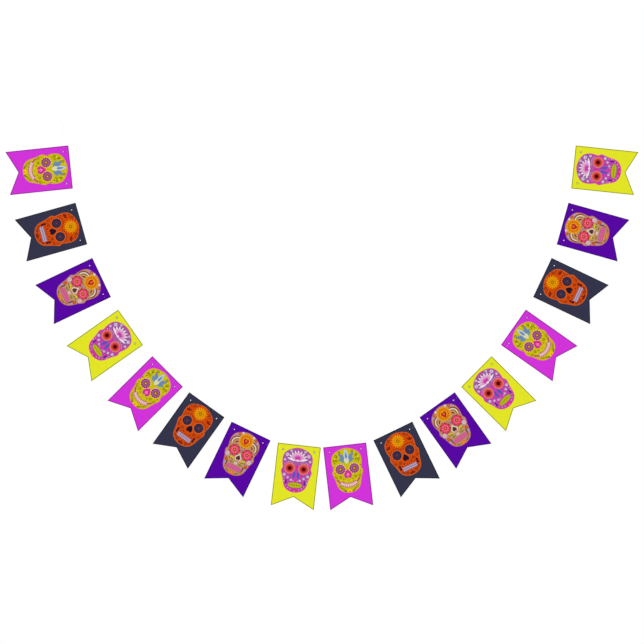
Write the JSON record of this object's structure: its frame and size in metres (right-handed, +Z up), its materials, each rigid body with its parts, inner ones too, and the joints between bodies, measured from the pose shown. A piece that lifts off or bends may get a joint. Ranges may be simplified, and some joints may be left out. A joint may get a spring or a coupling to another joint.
{
  "type": "swallowtail bunting banner",
  "caption": "String of printed card pennants with swallowtail ends, hung in a deep curve between two end loops, for party and festival decoration.",
  "frame": {"origin": "centre of the left end loop, the one at the left when the printed faces are seen", "axes": "+Z up as the banner hangs, +X from the left loop to the right loop, printed faces towards -Y"},
  "size_m": [1.856, 0.0029, 1.1493],
  "materials": {
    "card_magenta": "magenta printed card with a soft satin face and a printed sugar skull",
    "card_charcoal": "charcoal printed card with a soft satin face and a printed sugar skull",
    "card_purple": "purple printed card with a soft satin face and a printed sugar skull",
    "card_yellow": "yellow printed card with a soft satin face and a printed sugar skull",
    "clear_line": "clear nylon line"
  },
  "bodies": {
    "root": {"pennant_01": "card_magenta", "pennant_02": "card_charcoal", "pennant_03": "card_purple", "pennant_04": "card_yellow", "pennant_05": "card_magenta", "pennant_06": "card_charcoal", "pennant_07": "card_purple", "pennant_08": "card_yellow", "pennant_09": "card_magenta", "pennant_10": "card_charcoal", "pennant_11": "card_purple", "pennant_12": "card_yellow", "pennant_13": "card_magenta", "pennant_14": "card_charcoal", "pennant_15": "card_purple", "pennant_16": "card_yellow", "string": "clear_line"}
  },
  "joints": []
}
